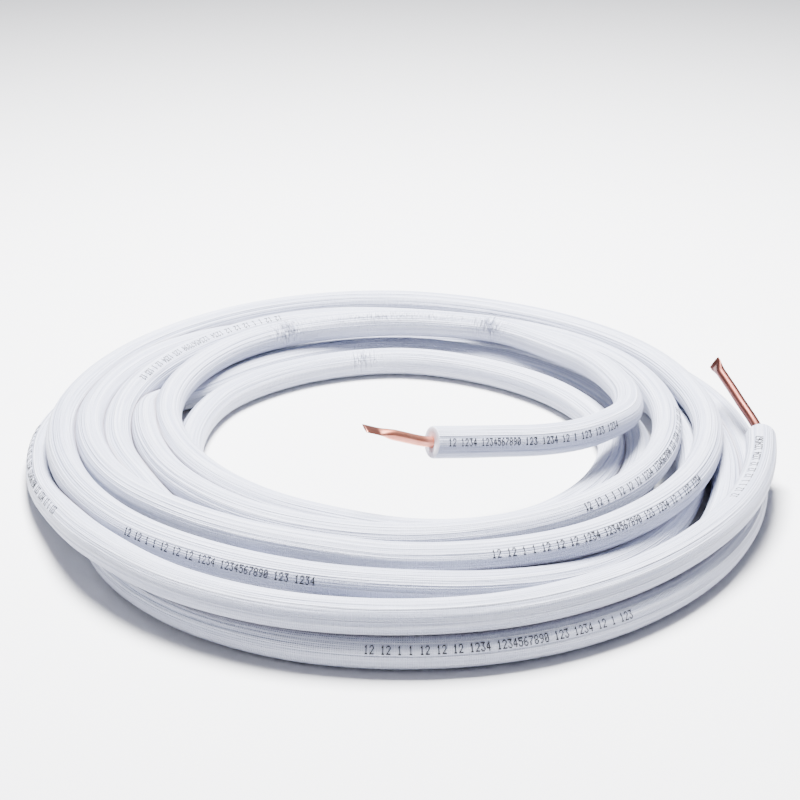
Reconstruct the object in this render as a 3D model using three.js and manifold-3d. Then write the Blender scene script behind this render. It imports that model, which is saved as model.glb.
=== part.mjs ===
// A loose coil of insulated copper pipe, lying flat on a level floor.
// The foam sleeve is one solid: a turned body with its bore, whose turns show as round ribs,
// and the first and the last turn, which leave the body and end in a flat cut face.
// The copper pipe runs through the sleeve and sticks out at both ends, each pinched flat.
// Millimetres, +Z up. The origin is the middle of the outermost turn, on the floor.
import * as THREE from 'three';
import { mergeVertices } from 'three/addons/utils/BufferGeometryUtils.js';
import Module from 'manifold-3d';

// Driving dimensions.
const SLEEVE_DIAMETER = 36;
const PIPE_DIAMETER = 12;
const INNER_TURN_RADIUS = 258;
const TURN_PITCH = 36;
const FLOOR_TURNS = 6;
const UPPER_TURNS = 3;
const LAYER_RISE = 31.2;
const BORE_SHIFT = 35;
const PIPE_CLEARANCE = 0.3;
const FLAT_LENGTH = 12;
const TAPER_LENGTH = 17;
const PINCH_THICKNESS_SHARE = 0.2;
const PINCH_WIDTH_SHARE = 1.5;

// How finely the round shapes are cut.
const COIL_SEGMENTS = 60;
const SLEEVE_SIDES = 12;
const PIPE_SIDES = 10;
const ARC_STEP = 10;

// Sizes that follow from them.
const SLEEVE_RADIUS = SLEEVE_DIAMETER / 2;
const PIPE_RADIUS = PIPE_DIAMETER / 2;
const OUTER_TURN_RADIUS = INNER_TURN_RADIUS + (FLOOR_TURNS - 1) * TURN_PITCH;
const RIB_RADIUS = SLEEVE_RADIUS / Math.cos(Math.PI / 12);
const FLOOR_LEVEL = SLEEVE_RADIUS;
const UPPER_LEVEL = FLOOR_LEVEL + LAYER_RISE;
const FIRST_UPPER_RADIUS = INNER_TURN_RADIUS + TURN_PITCH * 1.5;

const FOAM_COLOUR = 0xdcdfe8;
const COPPER_COLOUR = 0x9a6a50;

const radians = THREE.MathUtils.degToRad;

// A stretch of route whose section stations are the very points that it is given.
class StationPath extends THREE.CatmullRomCurve3 {
  getPointAt(share, target) {
    return this.getPoint(share, target);
  }

  getTangentAt(share, target) {
    return this.getTangent(share, target);
  }
}

// A point on a turn, by its angle round the coil, its distance from the middle and its height.
function turnPoint(station) {
  return new THREE.Vector3(
    station.radius * Math.cos(radians(station.angle)),
    station.middleY + station.radius * Math.sin(radians(station.angle)),
    station.height,
  );
}

// The stations of a turn, from rows of an angle, a distance from the turn's own radius and a height.
function turnStations(rows, turnRadius, middleY) {
  return rows.map(([angle, offset, height]) => ({
    angle,
    radius: turnRadius + offset,
    height,
    middleY,
  }));
}

// The points through all stations, with more between two of them that are far apart.
function routePoints(stations) {
  const points = [turnPoint(stations[0])];
  for (let index = 1; index < stations.length; index += 1) {
    const start = stations[index - 1];
    const end = stations[index];
    const steps = Math.max(1, Math.round((end.angle - start.angle) / ARC_STEP));
    for (let step = 1; step <= steps; step += 1) {
      const share = step / steps;
      const station = {};
      for (const name of ['angle', 'radius', 'height', 'middleY']) {
        station[name] = start[name] + (end[name] - start[name]) * share;
      }
      points.push(turnPoint(station));
    }
  }
  return points;
}

// A bar of a round section along a path, with a flat face at each end.
function sweep(points, radius, sides) {
  const corners = [];
  for (let side = 0; side < sides; side += 1) {
    const angle = (side + 0.5) * 2 * Math.PI / sides;
    corners.push(new THREE.Vector2(radius * Math.cos(angle), radius * Math.sin(angle)));
  }
  return new THREE.ExtrudeGeometry(new THREE.Shape(corners), {
    extrudePath: new StationPath(points),
    steps: points.length - 1,
    bevelEnabled: false,
  });
}

// Points on a rib's rim, between two of its angles, 30 degrees apart.
function ribPoints(radius, height, firstAngle, lastAngle) {
  const points = [];
  const step = firstAngle < lastAngle ? 30 : -30;
  const count = Math.round(Math.abs(lastAngle - firstAngle) / 30);
  for (let index = 0; index <= count; index += 1) {
    const angle = radians(firstAngle + index * step);
    points.push(new THREE.Vector2(
      radius + RIB_RADIUS * Math.cos(angle),
      height + RIB_RADIUS * Math.sin(angle),
    ));
  }
  return points;
}

// The section of the wound body: the lower turns' undersides, the outside, the upper turns, the bore.
function coilSection() {
  const dip = RIB_RADIUS * 0.55;
  const points = [];
  points.push(...ribPoints(INNER_TURN_RADIUS, FLOOR_LEVEL, 225, 255));
  for (let turn = 0; turn < FLOOR_TURNS - 1; turn += 1) {
    const radius = INNER_TURN_RADIUS + turn * TURN_PITCH;
    points.push(...ribPoints(radius, FLOOR_LEVEL, 285, 285));
    points.push(new THREE.Vector2(radius + TURN_PITCH / 2, FLOOR_LEVEL - dip));
    points.push(...ribPoints(radius + TURN_PITCH, FLOOR_LEVEL, 255, 255));
  }
  points.push(...ribPoints(OUTER_TURN_RADIUS, FLOOR_LEVEL, 285, 495));
  points.push(new THREE.Vector2(OUTER_TURN_RADIUS - TURN_PITCH / 2, FLOOR_LEVEL + dip));
  points.push(...ribPoints(OUTER_TURN_RADIUS - TURN_PITCH, FLOOR_LEVEL, 45, 75));
  for (let turn = UPPER_TURNS - 1; turn >= 0; turn -= 1) {
    const radius = FIRST_UPPER_RADIUS + turn * TURN_PITCH;
    const first = turn === UPPER_TURNS - 1 ? -15 : 45;
    const last = turn === 0 ? 195 : 135;
    points.push(...ribPoints(radius, UPPER_LEVEL, first, last));
    if (turn > 0) {
      points.push(new THREE.Vector2(radius - TURN_PITCH / 2, UPPER_LEVEL + dip));
    }
  }
  points.push(...ribPoints(INNER_TURN_RADIUS + TURN_PITCH, FLOOR_LEVEL, 105, 135));
  points.push(new THREE.Vector2(INNER_TURN_RADIUS + TURN_PITCH / 2, FLOOR_LEVEL + dip));
  points.push(...ribPoints(INNER_TURN_RADIUS, FLOOR_LEVEL, 45, 195));
  points.push(points[0].clone());
  return points;
}

// The wound body: turned round Z, with the inner turns' middle a little behind the outer one's.
function coilGeometry() {
  const geometry = new THREE.LatheGeometry(coilSection(), COIL_SEGMENTS);
  geometry.rotateX(Math.PI / 2);
  const place = geometry.attributes.position;
  const span = OUTER_TURN_RADIUS - INNER_TURN_RADIUS;
  for (let index = 0; index < place.count; index += 1) {
    const radius = Math.hypot(place.getX(index), place.getY(index));
    const shift = BORE_SHIFT * Math.max(OUTER_TURN_RADIUS - radius, 0) / span;
    place.setY(index, place.getY(index) + shift);
  }
  return geometry;
}

// The first turn: its free end springs up over the bore, then it lies on the turns and sinks
// between them at the front. Rows of angle, distance outward from the innermost turn, height.
const FIRST_TURN = [
  [-80, -56, 112],
  [-70, -62, 105],
  [-55.5, -60, 96],
  [-42, -44, 88],
  [-28.5, -21, 81],
  [-17, -2, 76],
  [-8.5, 14, 72],
  [3, 22, 69],
  [16, 23, 67],
  [29, 25, 64],
  [41, 27, 62],
  [60, 31, 60],
  [90, 36, 58],
  [105, 40, 56],
  [120, 50, 54],
  [135, 52, 52],
  [150, 46, 50],
  [165, 38, 49],
  [180, 27, 48],
  [195, 18, 47],
  [210, 13, 47],
  [240, 9, 46],
  [255, 10, 42],
  [270, 16, 34],
  [285, 28, 26],
  [300, 40, 20],
];

// The last turn: it leaves the floor at the left, climbs onto the outer turns and ends at the right.
// Rows of angle, distance inward from the outermost turn as a minus, height.
const LAST_TURN = [
  [176, -2, 20],
  [190, -8, 25],
  [206, -17, 38],
  [222, -12, 47],
  [238, -10, 49],
  [300, -11, 49],
  [318, -15, 49],
  [334, -14, 50],
  [342, -13, 53],
  [350, -11, 56],
  [357, -8, 60],
];

// Where round the coil the pipe leaves the first turn, for the place where the last one begins.
const CROSSING_ANGLE = 130;

// How far each bare end's tip lies from its sleeve's end.
const FIRST_TIP_OFFSET = new THREE.Vector3(-73, -30, 31);
const LAST_TIP_OFFSET = new THREE.Vector3(-32, 133, 30);

// Points from a place on a straight line to another, both included.
function linePoints(start, end, count) {
  const points = [];
  for (let index = 0; index <= count; index += 1) {
    points.push(start.clone().lerp(end, index / count));
  }
  return points;
}

// A bare end of the pipe, from its tip to the sleeve's end: close stations where it is pinched.
function bareEnd(tip, sleeveEnd) {
  const length = tip.distanceTo(sleeveEnd);
  const flatEnd = tip.clone().lerp(sleeveEnd, FLAT_LENGTH / length);
  const taperEnd = tip.clone().lerp(sleeveEnd, (FLAT_LENGTH + TAPER_LENGTH) / length);
  return [
    tip,
    ...linePoints(flatEnd, taperEnd, 4),
    ...linePoints(taperEnd, sleeveEnd, 2).slice(1),
  ];
}

const firstStations = turnStations(FIRST_TURN, INNER_TURN_RADIUS, BORE_SHIFT);
const lastStations = turnStations(LAST_TURN, OUTER_TURN_RADIUS, 0);
const firstEnd = turnPoint(firstStations[0]);
const lastEnd = turnPoint(lastStations[lastStations.length - 1]);
const firstTip = firstEnd.clone().add(FIRST_TIP_OFFSET);
const lastTip = lastEnd.clone().add(LAST_TIP_OFFSET);

const crossingStations = [
  { angle: 142, radius: INNER_TURN_RADIUS + 86, height: FLOOR_LEVEL, middleY: BORE_SHIFT / 2 },
  { angle: 166, radius: OUTER_TURN_RADIUS - 20, height: FLOOR_LEVEL, middleY: 0 },
];
const pipeStations = [
  ...firstStations.filter((station) => station.angle < CROSSING_ANGLE),
  ...crossingStations,
  ...lastStations,
];
const pipeRoute = [
  ...bareEnd(firstTip, firstEnd),
  ...routePoints(pipeStations).slice(1, -1),
  ...bareEnd(lastTip, lastEnd).reverse(),
];

// Pinches the end of a pipe flat: thin one way, wide the other, from the tip to the taper's end.
function pinch(geometry, tip, towardSleeve, thinWay) {
  const axis = towardSleeve.clone().sub(tip).normalize();
  const thin = thinWay.clone().addScaledVector(axis, -thinWay.dot(axis)).normalize();
  const place = geometry.attributes.position;
  const pinchLength = FLAT_LENGTH + TAPER_LENGTH;
  const point = new THREE.Vector3();
  for (let index = 0; index < place.count; index += 1) {
    point.fromBufferAttribute(place, index);
    const offset = point.clone().sub(tip);
    const along = offset.dot(axis);
    if (offset.length() < pinchLength + PIPE_DIAMETER && along < pinchLength) {
      const share = Math.min(1, (pinchLength - along) / TAPER_LENGTH);
      const across = offset.addScaledVector(axis, -along);
      const thinPart = thin.clone().multiplyScalar(across.dot(thin));
      const widePart = across.clone().sub(thinPart);
      thinPart.multiplyScalar(1 + (PINCH_THICKNESS_SHARE - 1) * share);
      widePart.multiplyScalar(1 + (PINCH_WIDTH_SHARE - 1) * share);
      point.copy(tip).addScaledVector(axis, along).add(thinPart).add(widePart);
      place.setXYZ(index, point.x, point.y, point.z);
    }
  }
  return geometry;
}

const wasm = await Module();
wasm.setup();

// A closed mesh as a solid that can be joined and cut.
function solidOf(geometry) {
  const plain = geometry.clone();
  plain.deleteAttribute('normal');
  plain.deleteAttribute('uv');
  const merged = mergeVertices(plain, 1e-3);
  return new wasm.Manifold(new wasm.Mesh({
    numProp: 3,
    vertProperties: new Float32Array(merged.attributes.position.array),
    triVerts: new Uint32Array(merged.index.array),
  }));
}

// A solid's faces as a geometry again.
function geometryOf(solid) {
  const mesh = solid.getMesh();
  const geometry = new THREE.BufferGeometry();
  geometry.setAttribute('position', new THREE.BufferAttribute(mesh.vertProperties, mesh.numProp));
  geometry.setIndex(new THREE.BufferAttribute(mesh.triVerts, 1));
  geometry.computeVertexNormals();
  return geometry;
}

// The foam sleeve, with the tunnel that the pipe runs through.
function foamInsulation() {
  const body = solidOf(coilGeometry());
  const firstTurn = solidOf(sweep(routePoints(firstStations), RIB_RADIUS, SLEEVE_SIDES));
  const lastTurn = solidOf(sweep(routePoints(lastStations), RIB_RADIUS, SLEEVE_SIDES));
  const tunnel = solidOf(sweep(pipeRoute, PIPE_RADIUS + PIPE_CLEARANCE, PIPE_SIDES));
  const sleeve = body.add(firstTurn).add(lastTurn).subtract(tunnel);
  const material = new THREE.MeshStandardMaterial({
    color: FOAM_COLOUR,
    roughness: 0.6,
    metalness: 0,
  });
  const mesh = new THREE.Mesh(geometryOf(sleeve), material);
  mesh.name = 'foam_insulation';
  return mesh;
}

// The copper pipe, from one pinched tip to the other.
function copperPipe() {
  const geometry = sweep(pipeRoute, PIPE_RADIUS, PIPE_SIDES);
  pinch(geometry, firstTip, firstEnd, new THREE.Vector3(0.1, -0.55, 0.83));
  pinch(geometry, lastTip, lastEnd, new THREE.Vector3(0.82, 0.3, -0.475));
  const material = new THREE.MeshStandardMaterial({
    color: COPPER_COLOUR,
    roughness: 0.35,
    metalness: 1,
  });
  const mesh = new THREE.Mesh(geometry, material);
  mesh.name = 'copper_pipe';
  return mesh;
}

const insulatedPipeCoil = new THREE.Group();
insulatedPipeCoil.add(foamInsulation());
insulatedPipeCoil.add(copperPipe());

export default insulatedPipeCoil;
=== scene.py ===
"""A loose coil of copper pipe in a white foam sleeve, with both bare pipe ends pinched flat.

The coil lies on a pale floor under soft studio light. All lengths are in metres unless a name says
otherwise, in the frame of the CAD model: +Z up, the origin in the middle of the outermost turn.
"""

import logging
import math
from dataclasses import dataclass, field
from enum import Enum

import bpy
import numpy as np
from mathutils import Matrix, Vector

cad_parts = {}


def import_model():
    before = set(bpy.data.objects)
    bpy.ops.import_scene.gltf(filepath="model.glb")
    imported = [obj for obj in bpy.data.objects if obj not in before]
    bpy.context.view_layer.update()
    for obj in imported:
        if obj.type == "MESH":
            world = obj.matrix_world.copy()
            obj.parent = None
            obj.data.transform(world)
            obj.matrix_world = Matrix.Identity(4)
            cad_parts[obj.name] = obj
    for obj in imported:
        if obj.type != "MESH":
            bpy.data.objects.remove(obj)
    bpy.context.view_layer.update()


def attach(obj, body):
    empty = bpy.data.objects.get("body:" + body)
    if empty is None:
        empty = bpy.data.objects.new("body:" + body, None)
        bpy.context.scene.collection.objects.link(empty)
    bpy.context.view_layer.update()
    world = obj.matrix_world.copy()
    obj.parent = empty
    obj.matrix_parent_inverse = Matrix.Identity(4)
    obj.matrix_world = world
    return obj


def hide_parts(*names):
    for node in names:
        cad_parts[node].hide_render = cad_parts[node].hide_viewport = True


MM = 0.001
log = logging.getLogger("pipe_coil")

# The bore of the coil is not quite in the middle: the turns lie looser towards -Y.
BORE_MIDDLE_Y_MM = 35.0

# How high the middle of a sleeve on the floor is, with its slight unevenness.
LOWEST_MIDDLE = 18.3 * MM

# Each turn's middle line, as stations (angle round the bore, distance from its middle, height), in
# degrees and millimetres. Most distances are not hand-set: points were read off enlarged crops of
# the photo, and a scratch program turned them into distances at round angles, with the fitted
# camera and assumed heights. Hidden stretches are guessed. The pipe runs from the first turn on.
FIRST_TURN = (
    (64, 292, 63), (75, 290, 62), (90, 294, 60), (105, 299, 58), (120, 309, 55), (135, 311, 53),
    (150, 305, 51), (165, 296, 50), (180, 286, 50), (195, 276, 50), (210, 271, 50), (225, 269, 49),
    (240, 269, 47), (255, 267, 42), (270, 268, 35), (285, 266, 28), (300, 263, 22), (330, 259, 18),
)
SECOND_TURN = (
    (0, 261, 18), (30, 252, 18), (60, 248, 18), (90, 256, 18), (120, 257, 18), (150, 262, 18),
    (180, 259, 18), (210, 268, 18), (240, 285, 18), (270, 300, 18), (300, 299, 18), (330, 295, 18),
)
THIRD_TURN = (
    (0, 291, 18), (30, 287, 18), (60, 286, 18), (90, 296, 18), (120, 297, 18), (135, 298, 18),
    (150, 303, 19), (162, 318, 27), (172, 317, 41), (182, 311, 49), (195, 306, 50), (210, 304, 50),
    (240, 304, 50), (270, 308, 50), (300, 311, 50), (330, 318, 50),
)
FOURTH_TURN = (
    (0, 327, 50), (15, 331, 50), (30, 336, 49), (45, 337, 47), (60, 337, 45), (75, 342, 42),
    (90, 348, 42), (105, 351, 46), (120, 351, 49), (135, 349, 50), (150, 347, 50), (180, 344, 50),
    (195, 342, 46), (210, 333, 38), (225, 335, 26), (240, 362, 18), (255, 404, 18), (270, 440, 18),
    (285, 446, 18), (300, 439, 18), (315, 428, 18), (330, 412, 18),
)
FIFTH_TURN = (
    (0, 391, 18), (30, 389, 18), (60, 382, 18), (90, 368, 18), (110, 370, 24), (130, 378, 38),
    (150, 379, 48), (180, 379, 50), (195, 372, 50), (210, 363, 50), (225, 350, 50), (240, 342, 50),
    (255, 340, 50), (270, 349, 50), (285, 356, 50), (300, 363, 50), (315, 366, 50), (330, 369, 50),
)
SIXTH_TURN = (
    (0, 375, 50), (15, 376, 50), (30, 380, 50), (45, 380, 50), (60, 382, 50), (75, 388, 50),
    (90, 398, 50), (105, 405, 50), (120, 408, 50), (150, 410, 50), (180, 411, 50), (210, 406, 50),
    (225, 403, 50), (240, 399, 50), (255, 396, 48), (270, 391, 42), (285, 388, 32), (300, 384, 22),
    (315, 376, 18), (330, 366, 18),
)
SEVENTH_TURN = (
    (0, 352, 18), (30, 350, 18), (60, 344, 18), (90, 333, 18), (120, 335, 18), (150, 345, 18),
    (180, 356, 18), (195, 372, 18), (210, 398, 18), (225, 431, 18), (240, 455, 18), (255, 468, 18),
    (270, 472, 18), (285, 471, 18), (300, 464, 18), (315, 453, 18), (330, 440, 18),
)
LAST_TURN = (
    (0, 421, 18), (15, 419, 18), (30, 416, 18), (60, 408, 18), (90, 402, 18), (120, 409, 18),
    (150, 424, 18), (165, 432, 18), (180, 437, 18), (195, 434, 20), (210, 434, 34), (225, 447, 49),
    (240, 458, 51), (255, 463, 51), (270, 463, 51), (285, 461, 51), (300, 453, 51), (315, 445, 52),
    (330, 440, 53), (345, 435, 56), (350.5, 433.5, 58.4),
)
TURNS = (
    FIRST_TURN, SECOND_TURN, THIRD_TURN, FOURTH_TURN, FIFTH_TURN, SIXTH_TURN, SEVENTH_TURN, LAST_TURN,
)
# The first turn's free end springs up over the bore: points from its cut face, in millimetres,
# measured from the bore's middle. They and the inner tip were worked out by a scratch program too.
SPRUNG_END = (
    (35, -199, 112), (67, -184, 105), (112, -163, 96), (159, -143, 88), (208, -113, 81),
    (245, -75, 76), (270, -40, 73), (280, 14, 70), (270, 76, 68), (247, 136, 66), (213, 184, 64),
)
INNER_TIP_MM = (-38.0, -229.0, 143.0)
OUTER_TIP_MM = (397.0, 81.0, 90.0)


class PinchSide(Enum):
    """Which way the jaws closed on a bare end: the direction that it is thin in."""

    INNER = (0.06, -0.12, 0.99)
    OUTER = (0.82, 0.30, -0.475)


def linear(hex_colour: str) -> tuple[float, float, float, float]:
    """Turns an sRGB hex colour into the linear one that a shader takes.

    Args:
        hex_colour: six hex digits, such as "dcdfe8".

    Returns:
        The linear red, green, blue and alpha.
    """
    values = []
    for place in (0, 2, 4):
        part = int(hex_colour[place:place + 2], 16) / 255
        values.append(part / 12.92 if part <= 0.04045 else ((part + 0.055) / 1.055) ** 2.4)
    return (values[0], values[1], values[2], 1.0)


def add_node(
    tree: bpy.types.NodeTree,
    kind: str,
    links: dict[str | int, object] | None = None,
    **settings: object,
) -> bpy.types.Node:
    """Adds a node to a material, with its settings and what its sockets take.

    Args:
        tree: the material's node tree.
        kind: the node's type name.
        links: for each input, by name or number, another node's output or a value.
        settings: the node's own properties.

    Returns:
        The new node.
    """
    node = tree.nodes.new(kind)
    for name, value in settings.items():
        setattr(node, name, value)
    for name, value in (links or {}).items():
        if isinstance(value, bpy.types.NodeSocket):
            tree.links.new(value, node.inputs[name])
        else:
            node.inputs[name].default_value = value
    return node


def new_material(name: str) -> tuple[bpy.types.Material, bpy.types.NodeTree, bpy.types.Node]:
    """Makes a material with an empty tree and its output.

    Args:
        name: the material's name.

    Returns:
        The material, its tree and the output node.
    """
    material = bpy.data.materials.new(name)
    material.use_nodes = True
    tree = material.node_tree
    tree.nodes.clear()
    output = add_node(tree, "ShaderNodeOutputMaterial")
    return material, tree, output


@dataclass(frozen=True)
class FoamSkin:
    """The sleeve's outside: white polyethylene foam under a co-extruded, embossed film.

    The eye sees a soft satin white with a cool grey in the shade, fine lines along the pipe from the
    embossing roller, a faint square mesh and small creases where the film was bent. Painted shade
    darkens the creases' valleys and the film where two turns touch.
    """

    colour: str = "bdc0cf"
    shade_colour: str = "9ea3b8"
    # Painted shade: the next colour is laid into the valleys of the film's creases.
    painted_crease_shade_colour: str = "7f8397"
    # Painted shade: the next colour is laid where two turns touch.
    painted_contact_shade_colour: str = "8b858e"
    roughness: float = 0.46
    lines_around: int = 40
    mesh_pitch_mm: float = 2.2
    crease_pitch_mm: float = 5.0

    def material(self) -> bpy.types.Material:
        """Builds the film's material, on the sleeve's own UV map and marks.

        Returns:
            The material.
        """
        material, tree, output = new_material("embossed_polyethylene_film")
        # U runs once round the sleeve, and V is the length along it in metres.
        place = add_node(tree, "ShaderNodeUVMap", uv_map="Sleeve")
        parts = add_node(tree, "ShaderNodeSeparateXYZ", {0: place.outputs[0]})
        turns = add_node(
            tree, "ShaderNodeMath", {0: parts.outputs["X"], 1: self.lines_around * 2 * math.pi},
            operation="MULTIPLY")
        lines = add_node(tree, "ShaderNodeMath", {0: turns.outputs[0]}, operation="SINE")
        rows = add_node(
            tree, "ShaderNodeMath",
            {0: parts.outputs["Y"], 1: 2 * math.pi / (self.mesh_pitch_mm * MM)},
            operation="MULTIPLY")
        bars = add_node(tree, "ShaderNodeMath", {0: rows.outputs[0]}, operation="SINE")
        # Long drawn streaks: the noise is stretched far along the sleeve.
        streak_place = add_node(
            tree, "ShaderNodeMapping", {"Vector": place.outputs[0], "Scale": (30.0, 2.0, 1.0)})
        streaks = add_node(
            tree, "ShaderNodeTexNoise",
            {"Vector": streak_place.outputs[0], "Scale": 1.0, "Detail": 4.0, "Roughness": 0.6})
        # Soft creases across the sleeve, where the film was bent or scuffed.
        crease_place = add_node(
            tree, "ShaderNodeMapping",
            {"Vector": place.outputs[0], "Scale": (7.0, 1 / (self.crease_pitch_mm * MM), 1.0)})
        creases = add_node(
            tree, "ShaderNodeTexNoise",
            {"Vector": crease_place.outputs[0], "Scale": 1.0, "Detail": 1.0, "Distortion": 0.8})
        marks = add_node(tree, "ShaderNodeAttribute", attribute_name="scuff")
        scuffs = add_node(
            tree, "ShaderNodeMath", {0: creases.outputs[0], 1: marks.outputs["Fac"]},
            operation="MULTIPLY")
        tone = add_node(
            tree, "ShaderNodeMapRange",
            {"Value": streaks.outputs[0], "From Min": 0.36, "From Max": 0.6})
        tint = add_node(
            tree, "ShaderNodeMix",
            {"Factor": tone.outputs[0], "A": linear(self.shade_colour), "B": linear(self.colour)},
            data_type="RGBA")
        fine = add_node(
            tree, "ShaderNodeMath", {0: lines.outputs[0], 1: 0.5, 2: bars.outputs[0]},
            operation="MULTIPLY_ADD")
        # Painted shade: a crease is also painted as a soft grey line, where the film's own shade falls
        # in its valleys.
        crease_shade_amount = add_node(
            tree, "ShaderNodeMapRange",
            {"Value": scuffs.outputs[0], "From Min": 0.34, "From Max": 0.62})
        creased = add_node(
            tree, "ShaderNodeMix",
            {"Factor": crease_shade_amount.outputs[0], "A": tint.outputs[2],
             "B": linear(self.painted_crease_shade_colour)},
            data_type="RGBA")
        # Painted shade: where two turns touch, the film is painted a darker, warmer grey for the shade
        # between them.
        contact_shade_mask = add_node(tree, "ShaderNodeAttribute", attribute_name="crease")
        contact_shaded = add_node(
            tree, "ShaderNodeMix",
            {"Factor": contact_shade_mask.outputs["Fac"], "A": creased.outputs[2],
             "B": linear(self.painted_contact_shade_colour)},
            data_type="RGBA")
        bump_fine = add_node(
            tree, "ShaderNodeBump",
            {"Height": fine.outputs[0], "Strength": 0.8, "Distance": 0.25 * MM})
        bump_streak = add_node(
            tree, "ShaderNodeBump",
            {"Height": streaks.outputs[0], "Strength": 1.0, "Distance": 4.0 * MM,
             "Normal": bump_fine.outputs[0]})
        bump_scuff = add_node(
            tree, "ShaderNodeBump",
            {"Height": scuffs.outputs[0], "Strength": 1.0, "Distance": 8.0 * MM,
             "Normal": bump_streak.outputs[0]})
        shader = add_node(
            tree, "ShaderNodeBsdfPrincipled",
            {"Base Color": contact_shaded.outputs[2], "Roughness": self.roughness, "IOR": 1.5,
             "Normal": bump_scuff.outputs[0]})
        tree.links.new(shader.outputs[0], output.inputs[0])
        return material


@dataclass(frozen=True)
class FoamCut:
    """The sleeve's sawn end: bare closed-cell foam, duller and a little greyer than its film."""

    colour: str = "d4d3db"
    pore_colour: str = "b9b7c1"
    pore_mm: float = 0.9

    def material(self) -> bpy.types.Material:
        """Builds the cut foam's material.

        Returns:
            The material.
        """
        material, tree, output = new_material("cut_closed_cell_foam")
        place = add_node(tree, "ShaderNodeTexCoord")
        cells = add_node(
            tree, "ShaderNodeTexVoronoi",
            {"Vector": place.outputs["Object"], "Scale": 1 / (self.pore_mm * MM)})
        tint = add_node(
            tree, "ShaderNodeMix",
            {"Factor": cells.outputs["Distance"], "A": linear(self.pore_colour),
             "B": linear(self.colour)},
            data_type="RGBA")
        bump = add_node(
            tree, "ShaderNodeBump",
            {"Height": cells.outputs["Distance"], "Strength": 0.6, "Distance": 0.4 * MM})
        shader = add_node(
            tree, "ShaderNodeBsdfPrincipled",
            {"Base Color": tint.outputs[2], "Roughness": 0.85, "Normal": bump.outputs[0]})
        tree.links.new(shader.outputs[0], output.inputs[0])
        return material


@dataclass(frozen=True)
class SoftCopper:
    """Annealed, drawn copper: a warm metal with a brown bloom, brighter where it is rubbed."""

    bright_colour: str = "f3a38a"
    bloom_colour: str = "c4735c"
    aged_colour: str = "7d4c43"
    bloom_mm: float = 26.0
    draw_line_mm: float = 0.7
    round_mm: float = 36.0

    def material(self) -> bpy.types.Material:
        """Builds the copper's material, on the pipe's own UV map.

        Returns:
            The material.
        """
        material, tree, output = new_material("annealed_copper")
        place = add_node(tree, "ShaderNodeTexCoord")
        bloom = add_node(
            tree, "ShaderNodeTexNoise",
            {"Vector": place.outputs["Object"], "Scale": 1 / (self.bloom_mm * MM), "Detail": 5.0})
        ramp = add_node(tree, "ShaderNodeValToRGB", {0: bloom.outputs[0]})
        ramp.color_ramp.elements[0].position = 0.38
        ramp.color_ramp.elements[0].color = linear(self.bright_colour)
        ramp.color_ramp.elements[1].position = 0.66
        ramp.color_ramp.elements[1].color = linear(self.bloom_colour)
        unrolled = add_node(tree, "ShaderNodeUVMap", uv_map="Pipe")
        stretched = add_node(
            tree, "ShaderNodeMapping",
            {"Vector": unrolled.outputs[0], "Scale": (self.round_mm / self.draw_line_mm, 14.0, 1.0)})
        lines = add_node(
            tree, "ShaderNodeTexNoise", {"Vector": stretched.outputs[0], "Scale": 1.0, "Detail": 3.0})
        bump = add_node(
            tree, "ShaderNodeBump",
            {"Height": lines.outputs[0], "Strength": 0.35, "Distance": 0.15 * MM})
        # The outer end has been out in the air for longer, and is browner.
        aged = add_node(tree, "ShaderNodeAttribute", attribute_name="aged")
        tint = add_node(
            tree, "ShaderNodeMix",
            {"Factor": aged.outputs["Fac"], "A": ramp.outputs[0], "B": linear(self.aged_colour)},
            data_type="RGBA")
        dull = add_node(
            tree, "ShaderNodeMapRange",
            {"Value": bloom.outputs[0], "To Min": 0.24, "To Max": 0.42})
        shader = add_node(
            tree, "ShaderNodeBsdfPrincipled",
            {"Base Color": tint.outputs[2], "Metallic": 1.0, "Roughness": dull.outputs[0],
             "Normal": bump.outputs[0]})
        tree.links.new(shader.outputs[0], output.inputs[0])
        return material


@dataclass(frozen=True)
class PrintInk:
    """The grey ink of a dot printer, thin and uneven on the film."""

    colour: str = "101014"
    worn_colour: str = "34353b"
    wear_mm: float = 3.0

    def material(self) -> bpy.types.Material:
        """Builds the ink's material.

        Returns:
            The material.
        """
        material, tree, output = new_material("dot_printer_ink")
        place = add_node(tree, "ShaderNodeTexCoord")
        wear = add_node(
            tree, "ShaderNodeTexNoise",
            {"Vector": place.outputs["Object"], "Scale": 1 / (self.wear_mm * MM), "Detail": 2.0})
        tint = add_node(
            tree, "ShaderNodeMix",
            {"Factor": wear.outputs[0], "A": linear(self.colour), "B": linear(self.worn_colour)},
            data_type="RGBA")
        shader = add_node(
            tree, "ShaderNodeBsdfPrincipled", {"Base Color": tint.outputs[2], "Roughness": 0.6})
        tree.links.new(shader.outputs[0], output.inputs[0])
        return material


@dataclass(frozen=True)
class StudioFloor:
    """The pale seamless paper that the coil lies on."""

    colour: str = "d2d2d4"

    def material(self) -> bpy.types.Material:
        """Builds the floor's plain material.

        Returns:
            The material.
        """
        material, tree, output = new_material("white_studio_paper")
        shader = add_node(
            tree, "ShaderNodeBsdfPrincipled",
            {"Base Color": linear(self.colour), "Roughness": 0.9})
        tree.links.new(shader.outputs[0], output.inputs[0])
        return material


def running_length(places: np.ndarray) -> np.ndarray:
    """Adds up the straight steps between places.

    Args:
        places: places along a line, in order.

    Returns:
        The length up to each place, from zero on.
    """
    steps = np.linalg.norm(np.diff(places, axis=0), axis=1)
    return np.concatenate([[0.0], np.cumsum(steps)])


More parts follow.
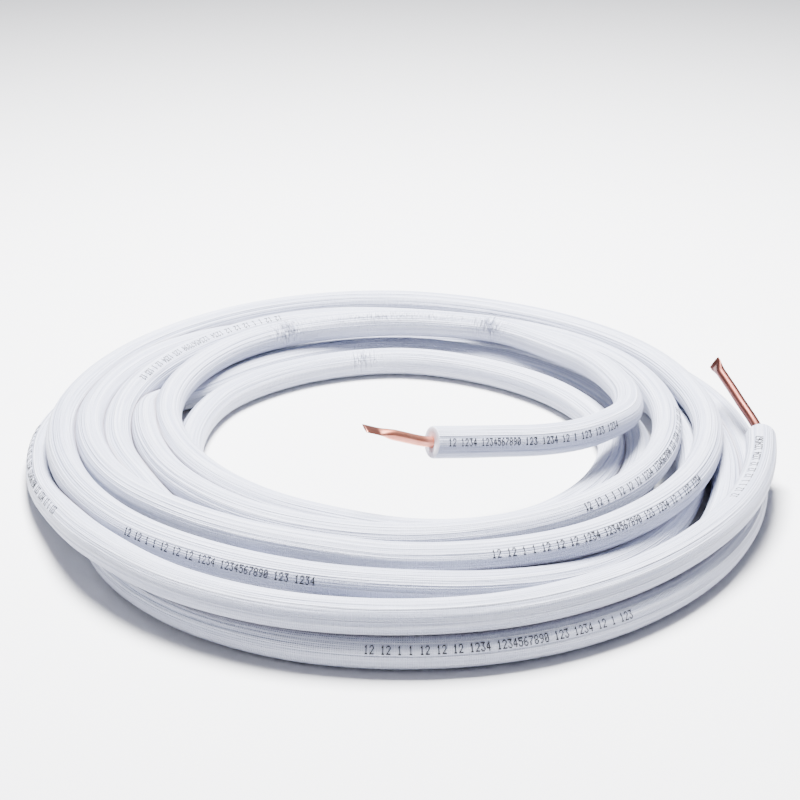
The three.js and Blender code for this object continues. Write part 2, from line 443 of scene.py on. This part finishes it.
def smooth_places(knots: np.ndarray, fine: np.ndarray, edge_order: int) -> np.ndarray:
    """Finds places on the smooth curve that passes through some knots.

    Args:
        knots: the places that the curve passes through.
        fine: lengths along the straight steps between the knots.
        edge_order: how closely the curve's direction is judged at its ends, 1 or 2.

    Returns:
        One place for each length.
    """
    along = running_length(knots)
    slopes = np.gradient(knots, along, axis=0, edge_order=edge_order)
    cell = np.clip(np.searchsorted(along, fine, side="right") - 1, 0, len(knots) - 2)
    width = (along[cell + 1] - along[cell])[:, None]
    share = (fine - along[cell])[:, None] / width
    square = share * share
    cube = square * share
    return (
        (2 * cube - 3 * square + 1) * knots[cell]
        + (cube - 2 * square + share) * width * slopes[cell]
        + (3 * square - 2 * cube) * knots[cell + 1]
        + (cube - square) * width * slopes[cell + 1])


@dataclass
class Route:
    """The middle line of the pipe, from the first turn's cut sleeve to the last one's.

    Attributes:
        points: places along it, close together.
        lengths: the length along the line up to each point.
        point_step: how far apart the points are, along the straight steps between stations.
    """

    points: np.ndarray = field(default_factory=lambda: np.zeros((0, 3)))
    lengths: np.ndarray = field(default_factory=lambda: np.zeros(0))
    point_step: float = 2 * MM

    def lay(self) -> None:
        """Works out the line through all stations, as one smooth curve."""
        stations = [self.place(x, y, z) for x, y, z in SPRUNG_END]
        for turn in TURNS:
            for angle, radius, height in turn:
                x = radius * math.cos(math.radians(angle))
                y = radius * math.sin(math.radians(angle))
                stations.append(self.place(x, y, height))
        knots = np.array(stations)
        whole = running_length(knots)[-1]
        fine = np.linspace(0.0, whole, int(whole / self.point_step) + 1)
        self.points = smooth_places(knots, fine, 2)
        self.points[:, 2] = np.maximum(self.points[:, 2], LOWEST_MIDDLE)
        self.lengths = running_length(self.points)

    @staticmethod
    def place(x_mm: float, y_mm: float, z_mm: float) -> np.ndarray:
        """Turns millimetres from the bore's middle into a place in the model's frame."""
        return np.array([x_mm, y_mm + BORE_MIDDLE_Y_MM, z_mm]) * MM

    @property
    def length(self) -> float:
        """The whole length of the sleeve."""
        return float(self.lengths[-1])

    def at(self, lengths: np.ndarray) -> np.ndarray:
        """Finds the places at some lengths along the line.

        Args:
            lengths: lengths along the line. Past an end the line runs straight on.

        Returns:
            One place for each length.
        """
        inside = np.clip(lengths, 0.0, self.length)
        found = np.stack([np.interp(inside, self.lengths, self.points[:, i]) for i in range(3)], 1)
        start = self.points[0] - self.points[4]
        end = self.points[-1] - self.points[-5]
        before = np.clip(-lengths, 0.0, None)[:, None]
        after = np.clip(lengths - self.length, 0.0, None)[:, None]
        return found + before * start / np.linalg.norm(start) + after * end / np.linalg.norm(end)

    def length_at(self, total_angle: float) -> float:
        """Finds how far along the line an angle is, counted on from turn to turn.

        Args:
            total_angle: degrees round the bore, with 360 for each turn before it.

        Returns:
            The length along the line.
        """
        places = self.points - self.place(0, 0, 0)
        turned = np.degrees(np.unwrap(np.arctan2(places[:, 1], places[:, 0])))
        first = math.degrees(math.atan2(places[-1, 1], places[-1, 0])) % 360
        turned += (len(TURNS) - 1) * 360 + first - turned[-1]
        return float(np.interp(total_angle, turned, self.lengths))


def section_axes(tangents: np.ndarray) -> tuple[np.ndarray, np.ndarray]:
    """Finds the two directions that a round section is drawn in, at each place of a line.

    Args:
        tangents: the line's direction at each place, of any length.

    Returns:
        The direction out of the coil and the one up, square to the line, at each place.
    """
    along = tangents / np.linalg.norm(tangents, axis=1)[:, None]
    outward = np.cross(along, [0.0, 0.0, 1.0])
    outward /= np.linalg.norm(outward, axis=1)[:, None]
    return outward, np.cross(outward, along)


def rolled_tube(
    name: str,
    places: np.ndarray,
    outward: np.ndarray,
    upward: np.ndarray,
    wide: np.ndarray,
    high: np.ndarray,
    sides: int,
    uv_name: str,
    uv_lengths: np.ndarray,
) -> bpy.types.Object:
    """Rolls a flat grid round a line into a closed tube, as a sheet is rolled round a pipe.

    Args:
        name: the new piece's name.
        places: the middle of each ring.
        outward: each ring's first direction.
        upward: each ring's second direction.
        wide: each ring's half size in the first direction. A pair of zeros closes an end.
        high: each ring's half size in the second direction.
        sides: how many faces go round.
        uv_name: the name of its UV map, with once round in U.
        uv_lengths: each ring's place along V.

    Returns:
        The piece.
    """
    rings = len(places)
    bpy.ops.object.select_all(action="DESELECT")
    bpy.ops.mesh.primitive_grid_add(x_subdivisions=sides, y_subdivisions=rings - 1, size=2.0)
    piece = bpy.context.active_object
    piece.name = name
    piece.data.name = name
    mesh = piece.data
    flat = np.empty(len(mesh.vertices) * 3)
    mesh.vertices.foreach_get("co", flat)
    flat = flat.reshape(-1, 3)
    round_share = (flat[:, 0] + 1) / 2
    ring = np.rint((flat[:, 1] + 1) / 2 * (rings - 1)).astype(int)
    angle = round_share * 2 * math.pi - math.pi / 2
    rolled = (
        places[ring]
        + (wide[ring] * np.cos(angle))[:, None] * outward[ring]
        + (high[ring] * np.sin(angle))[:, None] * upward[ring])
    corner_vertex = np.empty(len(mesh.loops), dtype=np.int32)
    mesh.loops.foreach_get("vertex_index", corner_vertex)
    uv = np.stack([round_share[corner_vertex], uv_lengths[ring[corner_vertex]]], 1)
    mesh.uv_layers[0].name = uv_name
    mesh.uv_layers[0].data.foreach_set("uv", uv.ravel())
    mesh.vertices.foreach_set("co", rolled.ravel())
    mesh.update()
    bpy.ops.object.mode_set(mode="EDIT")
    bpy.ops.mesh.select_all(action="SELECT")
    bpy.ops.mesh.remove_doubles(threshold=1e-6)
    bpy.ops.mesh.normals_make_consistent(inside=False)
    bpy.ops.object.mode_set(mode="OBJECT")
    bpy.ops.object.shade_smooth()
    return piece


@dataclass
class Scuff:
    """A patch of creased film on the sleeve.

    Attributes:
        total_angle: where its middle is, with 360 degrees for each turn before it.
        round_angle: where it is round the sleeve: 0 is out of the coil and 90 is up, in degrees.
        half_length_mm: half its length along the sleeve.
        half_round: half its width round the sleeve, in degrees.
        depth: how deep its creases are, where 1 is a full crease.
    """

    total_angle: float
    round_angle: float
    half_length_mm: float
    half_round: float
    depth: float


@dataclass
class FoamSleeve:
    """The foam sleeve: one long tube, round the whole route, with a cut face at each end."""

    route: Route
    radius: float = 18 * MM
    bore_radius: float = 6.2 * MM
    edge_round: float = 1.4 * MM
    bore_depth: float = 25 * MM
    ring_step: float = 12 * MM
    sides: int = 36
    crease_step: float = 8 * MM
    contact_shade_reach: float = 3.5 * MM
    crease_batch: int = 4000
    own_stretch: float = 300 * MM
    direction_reach: float = 4 * MM
    plain_film: float = 0.05
    slow_swell: float = 0.008
    slow_swell_per_metre: float = 9.0
    quick_swell: float = 0.006
    quick_swell_per_metre: float = 23.0
    edge_share: float = 0.3
    cut_search: float = 40 * MM
    cut_depth: float = 30 * MM
    scuffs: tuple[Scuff, ...] = (
        Scuff(121, 140, 24, 60, 1.15),
        Scuff(64, 140, 26, 60, 1.15),
        Scuff(92, 120, 110, 26, 0.62),
        Scuff(462, 140, 18, 50, 1.0),
    )

    def build(self) -> bpy.types.Object:
        """Builds the sleeve and dresses it.

        Returns:
            The piece.
        """
        middle = np.linspace(0.0, self.route.length, int(self.route.length / self.ring_step) + 1)
        # Ring by ring at an end: in the bore, round the cut face and over its soft edge.
        inset = np.array([self.bore_depth, self.bore_depth, 0.0, 0.0, self.edge_round * self.edge_share])
        radii = np.array([
            0.0, self.bore_radius, self.bore_radius, self.radius - self.edge_round,
            self.radius - self.edge_round * self.edge_share])
        inner_lengths = middle[1:-1]
        first = np.array([self.edge_round])
        last = np.array([self.route.length - self.edge_round])
        lengths = np.concatenate(
            [inset, first, inner_lengths, last, self.route.length - inset[::-1]])
        size = np.concatenate([radii, np.full(len(inner_lengths) + 2, self.radius), radii[::-1]])
        places = self.route.at(lengths)
        outward, upward = self.axes_at(lengths)
        # The foam is not quite even: it swells and thins a little along the pipe.
        slow = self.slow_swell * np.sin(lengths * self.slow_swell_per_metre)
        quick = self.quick_swell * np.sin(lengths * self.quick_swell_per_metre + 1.0)
        size = size * (1 + slow + quick)
        piece = rolled_tube(
            "foam_sleeve", places, outward, upward, size, size, self.sides, "Sleeve", lengths)
        self.mark_scuffs(piece)
        self.mark_contact_shade(piece)
        self.dress(piece)
        return piece

    def axes_at(self, lengths: np.ndarray) -> tuple[np.ndarray, np.ndarray]:
        """Finds the section's directions at some lengths along the route.

        Args:
            lengths: lengths along the route, in any order.

        Returns:
            The direction out of the coil and the one up, at each length.
        """
        before = self.route.at(lengths - self.direction_reach)
        after = self.route.at(lengths + self.direction_reach)
        return section_axes(after - before)

    def mark_scuffs(self, piece: bpy.types.Object) -> None:
        """Writes how creased the film is at each corner of the mesh, for the creases' bump and painted
        shade.

        Args:
            piece: the sleeve.
        """
        mesh = piece.data
        marks = mesh.attributes.new("scuff", "FLOAT", "CORNER")
        uv = np.empty(len(mesh.loops) * 2)
        mesh.uv_layers["Sleeve"].data.foreach_get("uv", uv)
        uv = uv.reshape(-1, 2)
        round_angle = uv[:, 0] * 360 - 90
        amount = np.full(len(uv), self.plain_film)
        for scuff in self.scuffs:
            middle = self.route.length_at(scuff.total_angle)
            along = (uv[:, 1] - middle) / (scuff.half_length_mm * MM)
            across = (round_angle - scuff.round_angle) / scuff.half_round
            amount = np.maximum(amount, scuff.depth * np.exp(-along ** 2 - across ** 2))
        marks.data.foreach_set("value", amount)

    def mark_contact_shade(self, piece: bpy.types.Object) -> None:
        """Writes how close each vertex is to another turn: the mask of painted shade where turns touch.

        Args:
            piece: the sleeve.
        """
        mesh = piece.data
        flat = np.empty(len(mesh.vertices) * 3)
        mesh.vertices.foreach_get("co", flat)
        vertices = flat.reshape(-1, 3)
        # Each vertex's own length along the sleeve, so that its own stretch isn't taken for another.
        own = np.zeros(len(vertices))
        corner_vertex = np.empty(len(mesh.loops), dtype=np.int32)
        mesh.loops.foreach_get("vertex_index", corner_vertex)
        uv = np.empty(len(mesh.loops) * 2)
        mesh.uv_layers["Sleeve"].data.foreach_get("uv", uv)
        own[corner_vertex] = uv.reshape(-1, 2)[:, 1]
        lengths = np.arange(0.0, self.route.length, self.crease_step)
        middles = self.route.at(lengths)
        nearest = np.empty(len(vertices))
        for start in range(0, len(vertices), self.crease_batch):
            part = slice(start, start + self.crease_batch)
            gaps = ((vertices[part, None, :] - middles[None, :, :]) ** 2).sum(axis=2)
            gaps[np.abs(own[part, None] - lengths[None, :]) < self.own_stretch] = 1.0
            nearest[part] = np.sqrt(gaps.min(axis=1))
        # Painted shade: full where another turn touches, fading out over the reach.
        close = np.clip(1 - (nearest - self.radius) / self.contact_shade_reach, 0.0, 1.0)
        marks = mesh.attributes.new("crease", "FLOAT", "POINT")
        marks.data.foreach_set("value", close)

    def dress(self, piece: bpy.types.Object) -> None:
        """Gives the film and the cut faces their materials.

        Args:
            piece: the sleeve.
        """
        mesh = piece.data
        mesh.materials.append(FoamSkin().material())
        mesh.materials.append(FoamCut().material())
        centres = np.empty(len(mesh.polygons) * 3)
        mesh.polygons.foreach_get("center", centres)
        centres = centres.reshape(-1, 3)
        cut = np.zeros(len(centres), dtype=bool)
        step = 10 * MM
        for end, inside in ((0.0, step), (self.route.length, self.route.length - step)):
            face = self.route.at(np.array([end, inside]))
            axis = (face[0] - face[1]) / np.linalg.norm(face[0] - face[1])
            offset = centres - face[0]
            along = offset @ axis
            near = np.linalg.norm(offset, axis=1) < self.cut_search
            across = np.linalg.norm(offset - along[:, None] * axis, axis=1)
            within = across < self.radius - self.edge_round / 2
            cut |= near & within & (along > -self.cut_depth)
        mesh.polygons.foreach_set("material_index", cut.astype(np.int32))
        mesh.update()
        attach(piece, "root")
        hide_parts("foam_insulation")


@dataclass
class BareEnd:
    """One bare end of the pipe, which leaves the sleeve and is pinched flat.

    Attributes:
        tip: where it ends.
        pinch_side: the direction that it is thin in at its tip.
        flat_length: how long the flat is.
        taper_length: how long the pipe takes to go from round to flat.
    """

    tip: np.ndarray
    pinch_side: PinchSide
    flat_length: float
    taper_length: float


@dataclass
class CopperPipe:
    """The copper pipe: one piece, right through the sleeve and out at both ends."""

    route: Route
    radius: float = 6 * MM
    flat_half_width: float = 8.8 * MM
    flat_half_thickness: float = 1.15 * MM
    sides: int = 28
    hidden_step: float = 30 * MM
    shown_step: float = 1.5 * MM
    buried: float = 40 * MM
    turned_length: float = 170 * MM
    bend_share: float = 0.1
    taper_power: float = 1.5
    aged_beyond_x: float = 300 * MM
    aged_over: float = 50 * MM
    stained_tip: float = 24 * MM
    stained_over: float = 8 * MM
    stain: float = 0.8

    def build(self) -> bpy.types.Object:
        """Builds the pipe and dresses it.

        Returns:
            The piece.
        """
        inner = BareEnd(Route.place(*INNER_TIP_MM), PinchSide.INNER, 17 * MM, 20 * MM)
        outer = BareEnd(Route.place(*OUTER_TIP_MM), PinchSide.OUTER, 7 * MM, 18 * MM)
        hidden = np.arange(self.buried, self.route.length - self.buried, self.hidden_step)
        first = self.end_places(inner, 0.0, self.buried)
        last = self.end_places(outer, self.route.length, self.route.length - self.buried)[::-1]
        places = np.concatenate([first, self.route.at(hidden)[1:], last])
        lengths = running_length(places)
        outward, upward = section_axes(np.gradient(places, axis=0))
        wide = np.full(len(places), self.radius)
        high = wide.copy()
        self.pinch(inner, lengths, places, outward, upward, wide, high)
        self.pinch(outer, lengths[-1] - lengths, places, outward, upward, wide, high)
        places, outward, upward, wide, high, lengths = (
            np.concatenate([values[:1], values, values[-1:]])
            for values in (places, outward, upward, wide, high, lengths))
        wide[[0, -1]] = 0.0
        high[[0, -1]] = 0.0
        piece = rolled_tube(
            "bare_copper_pipe", places, outward, upward, wide, high, self.sides, "Pipe", lengths)
        self.mark_age(piece)
        piece.data.materials.append(SoftCopper().material())
        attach(piece, "root")
        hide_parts("copper_pipe")
        return piece

    def mark_age(self, piece: bpy.types.Object) -> None:
        """Writes how brown the copper is: only the tip at the inner end, and all of the outer end.

        Args:
            piece: the pipe.
        """
        mesh = piece.data
        marks = mesh.attributes.new("aged", "FLOAT", "POINT")
        flat = np.empty(len(mesh.vertices) * 3)
        mesh.vertices.foreach_get("co", flat)
        vertices = flat.reshape(-1, 3)
        aged = np.clip((vertices[:, 0] - self.aged_beyond_x) / self.aged_over, 0.0, 1.0)
        from_tip = np.linalg.norm(vertices - Route.place(*INNER_TIP_MM), axis=1)
        stained = np.clip((self.stained_tip - from_tip) / self.stained_over, 0.0, self.stain)
        marks.data.foreach_set("value", np.maximum(aged, stained))

    def end_places(self, end: BareEnd, face: float, inside: float) -> np.ndarray:
        """Finds the close rings of a bare end, from its tip into the sleeve.

        Args:
            end: the bare end.
            face: the length along the route of the sleeve's cut face.
            inside: the length along it where the close rings stop.

        Returns:
            The places of the rings, from the tip on.
        """
        seat = self.route.at(np.array([face, face + (inside - face) * 0.5, inside]))
        reach = np.linalg.norm(end.tip - seat[0])
        # The straight stretch bends a little before it enters the sleeve.
        straight = (end.tip + seat[0]) / 2
        lead = (seat[0] - seat[1]) / np.linalg.norm(seat[0] - seat[1])
        bent = seat[0] + lead * reach / 2
        middle = straight * (1 - self.bend_share) + bent * self.bend_share
        knots = np.array([end.tip, middle, seat[0], seat[1], seat[2]])
        fine = np.arange(0.0, running_length(knots)[-1], self.shown_step)
        return smooth_places(knots, fine, 1)

    def pinch(
        self,
        end: BareEnd,
        from_tip: np.ndarray,
        places: np.ndarray,
        outward: np.ndarray,
        upward: np.ndarray,
        wide: np.ndarray,
        high: np.ndarray,
    ) -> None:
        """Flattens the rings near a tip, with the section turned to the way the jaws closed.

        Args:
            end: the bare end.
            from_tip: each ring's length from the tip.
            places: the rings' middles.
            outward: their first directions, changed in place.
            upward: their second directions, changed in place.
            wide: their half widths, changed in place.
            high: their half heights, changed in place.
        """
        near = from_tip < self.turned_length
        thin_way = np.array(end.pinch_side.value)
        tangents = np.gradient(places, axis=0)[near]
        tangents /= np.linalg.norm(tangents, axis=1)[:, None]
        across = np.cross(thin_way, tangents)
        across /= np.linalg.norm(across, axis=1)[:, None]
        outward[near] = across
        upward[near] = -np.cross(tangents, across)
        share = np.clip(1 - (from_tip[near] - end.flat_length) / end.taper_length, 0.0, 1.0)
        eased = share ** self.taper_power
        wide[near] = self.radius + (self.flat_half_width - self.radius) * eased
        high[near] = self.radius + (self.flat_half_thickness - self.radius) * eased


# Plain figures as a dot printer draws them, seven rows of five dots each.
FIGURES = {
    "0": ("01110", "10001", "10011", "10101", "11001", "10001", "01110"),
    "1": ("00100", "01100", "00100", "00100", "00100", "00100", "01110"),
    "2": ("01110", "10001", "00001", "00010", "00100", "01000", "11111"),
    "3": ("11111", "00010", "00100", "00010", "00001", "10001", "01110"),
    "4": ("00010", "00110", "01010", "10010", "11111", "00010", "00010"),
    "5": ("11111", "10000", "11110", "00001", "00001", "10001", "01110"),
    "6": ("00110", "01000", "10000", "11110", "10001", "10001", "01110"),
    "7": ("11111", "00001", "00010", "00100", "01000", "01000", "01000"),
    "8": ("01110", "10001", "10001", "01110", "10001", "10001", "01110"),
    "9": ("01110", "10001", "10001", "01111", "00001", "00010", "01100"),
}
MIDDLE_ROW = 3


@dataclass
class PrintRun:
    """A line of plain figures along the sleeve.

    Attributes:
        total_angle: the angle that it is placed by, with 360 degrees for each turn before it. Not a
            number stands for the first turn's cut face.
        round_angle: where it is round the sleeve: 0 is out of the coil and 90 is up, in degrees.
        figures: the figures, with blanks between groups.
        start_mm: how far along the sleeve from there it starts.
    """

    total_angle: float
    round_angle: float
    figures: str
    start_mm: float = 0.0


@dataclass
class SleevePrint:
    """The dot-printed figures on the sleeve: small flat dots that follow the film."""

    route: Route
    sleeve: FoamSleeve
    dot_pitch_along: float = 0.78 * MM
    dot_pitch_round: float = 1.3 * MM
    dot_half_along: float = 0.5 * MM
    dot_half_round: float = 0.66 * MM
    figure_pitch: float = 5.2 * MM
    lift: float = 0.3 * MM
    runs: tuple[PrintRun, ...] = (
        PrintRun(math.nan, 22, "12 1234 1234567890 123 1234 12 1 123 123 1234", 12),
        PrintRun(2 * 360 + 308, 42, "12 12 1 1 12 12 12 1234 1234567890 123 1234 12 1 123 123"),
        PrintRun(4 * 360 + 285, 38, "12 12 1 1 12 12 12 1234 1234567890 123 1234 12 1 123 1234"),
        PrintRun(5 * 360 + 226, 26, "12 12 1 1 12 12 12 1234 1234567890 123 1234"),
        PrintRun(7 * 360 + 178, 44, "12 12 1 1 12 12 12 1234 1234567890 123 1234 12 1 123"),
        PrintRun(3 * 360 + 119, 114, "12 12 1 1 12 12 12 1234 1234567890 123 1234 12 1 123 12"),
        PrintRun(7 * 360 + 325.5, 102, "12 12 1 1 12 12 12 1234 1234567"),
        PrintRun(6 * 360 + 266, 34, "12 12 1 1 12 12 12 1234 1234567890 123 1234 12 1 123"),
    )

    def build(self) -> bpy.types.Object:
        """Builds all figures as one thin piece, and dresses it.

        Returns:
            The piece.
        """
        lengths, angles = self.dots()
        bpy.ops.object.select_all(action="DESELECT")
        bpy.ops.mesh.primitive_plane_add(size=2.0)
        piece = bpy.context.active_object
        piece.name = "sleeve_figures"
        piece.data.name = "sleeve_figures"
        offsets = np.array([(-1, -1), (1, -1), (1, 1), (-1, 1)], dtype=float)
        radius = self.sleeve.radius + self.lift
        along = lengths[:, None] + offsets[None, :, 0] * self.dot_half_along
        turn = angles[:, None] + offsets[None, :, 1] * self.dot_half_round / radius
        along = along.ravel()
        turn = turn.ravel()
        outward, upward = self.sleeve.axes_at(along)
        places = (
            self.route.at(along)
            + (radius * np.cos(turn))[:, None] * outward
            + (radius * np.sin(turn))[:, None] * upward)
        faces = np.arange(len(places)).reshape(-1, 4)
        mesh = piece.data
        mesh.clear_geometry()
        mesh.from_pydata(places.tolist(), [], faces.tolist())
        mesh.update()
        bpy.ops.object.modifier_add(type="SOLIDIFY")
        body = piece.modifiers[-1]
        body.thickness = self.lift
        body.offset = -1.0
        bpy.ops.object.modifier_apply(modifier=body.name)
        piece.data.materials.append(PrintInk().material())
        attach(piece, "root")
        return piece

    def dots(self) -> tuple[np.ndarray, np.ndarray]:
        """Places every dot of every figure on the unrolled sleeve.

        Returns:
            The dots' lengths along the route and their angles round the sleeve, in radians.
        """
        lengths = []
        angles = []
        step_round = self.dot_pitch_round / self.sleeve.radius
        for run in self.runs:
            start = 0.0 if math.isnan(run.total_angle) else self.route.length_at(run.total_angle)
            start += run.start_mm * MM
            middle = math.radians(run.round_angle)
            for place, figure in enumerate(run.figures):
                rows = FIGURES.get(figure, ())
                for row, dots in enumerate(rows):
                    for column, dot in enumerate(dots):
                        if dot == "1":
                            lengths.append(
                                start + place * self.figure_pitch + column * self.dot_pitch_along)
                            angles.append(middle + (MIDDLE_ROW - row) * step_round)
        return np.array(lengths), np.array(angles)


@dataclass
class Studio:
    """The pale floor, the soft lights and the camera at the photograph's viewing angle."""

    picture_pixels: float = 800.0
    focal_pixels: float = 1604.0
    sensor_mm: float = 36.0
    distance: float = 1.975
    elevation_degrees: float = 25.0
    aim_height: float = 0.040
    middle_row_pixels: float = 25.0
    floor_size: float = 60.0
    floor_height: float = -0.5 * MM
    surround_colour: str = "d8dcf4"
    surround_strength: float = 0.35

    def build(self) -> None:
        """Builds the whole set."""
        self.add_floor()
        self.add_lights()
        self.add_camera()

    def add_floor(self) -> None:
        """Adds the floor, just under the coil."""
        bpy.ops.object.select_all(action="DESELECT")
        bpy.ops.mesh.primitive_plane_add(size=self.floor_size, location=(0.0, 0.0, self.floor_height))
        floor = bpy.context.active_object
        floor.name = "studio_floor"
        bpy.ops.object.transform_apply(location=True)
        floor.data.materials.append(StudioFloor().material())

    def add_lights(self) -> None:
        """Adds a large soft light overhead, a weak one at the left and an even surround."""
        for name, power, size, place in (
                ("overhead_softbox", 820.0, 1.1, (0.0, 0.6, 2.6)),
                ("left_softbox", 12.0, 1.2, (-2.2, -1.2, 1.6))):
            bpy.ops.object.light_add(type="AREA", location=place)
            light = bpy.context.active_object
            light.name = name
            light.data.energy = power
            light.data.size = size
            light.rotation_euler = (-Vector(place)).to_track_quat("-Z", "Y").to_euler()
        world = bpy.data.worlds.new("even_surround")
        world.use_nodes = True
        surround = world.node_tree.nodes["Background"]
        surround.inputs["Color"].default_value = linear(self.surround_colour)
        surround.inputs["Strength"].default_value = self.surround_strength
        bpy.context.scene.world = world

    def add_camera(self) -> None:
        """Adds the camera, aimed at the middle of the bore."""
        angle = math.radians(self.elevation_degrees)
        aim = Vector((0.0, BORE_MIDDLE_Y_MM * MM, self.aim_height))
        back = Vector((0.0, -math.cos(angle), math.sin(angle))) * self.distance
        bpy.ops.object.camera_add(location=aim + back)
        camera = bpy.context.active_object
        camera.name = "photo_camera"
        camera.rotation_euler = (-back).to_track_quat("-Z", "Y").to_euler()
        camera.data.sensor_width = self.sensor_mm
        camera.data.lens = self.sensor_mm * self.focal_pixels / self.picture_pixels
        camera.data.shift_y = self.middle_row_pixels / self.picture_pixels
        bpy.context.scene.camera = camera


def main() -> None:
    """Builds the coil and the studio."""
    logging.basicConfig(level=logging.INFO, format="%(message)s")
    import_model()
    Studio().build()
    route = Route()
    route.lay()
    log.info("sleeve length %.2f m", route.length)
    sleeve = FoamSleeve(route)
    for piece in (sleeve.build(), CopperPipe(route).build(), SleevePrint(route, sleeve).build()):
        log.info("%s: %d faces", piece.name, len(piece.data.polygons))


if __name__ == "__main__":
    main()
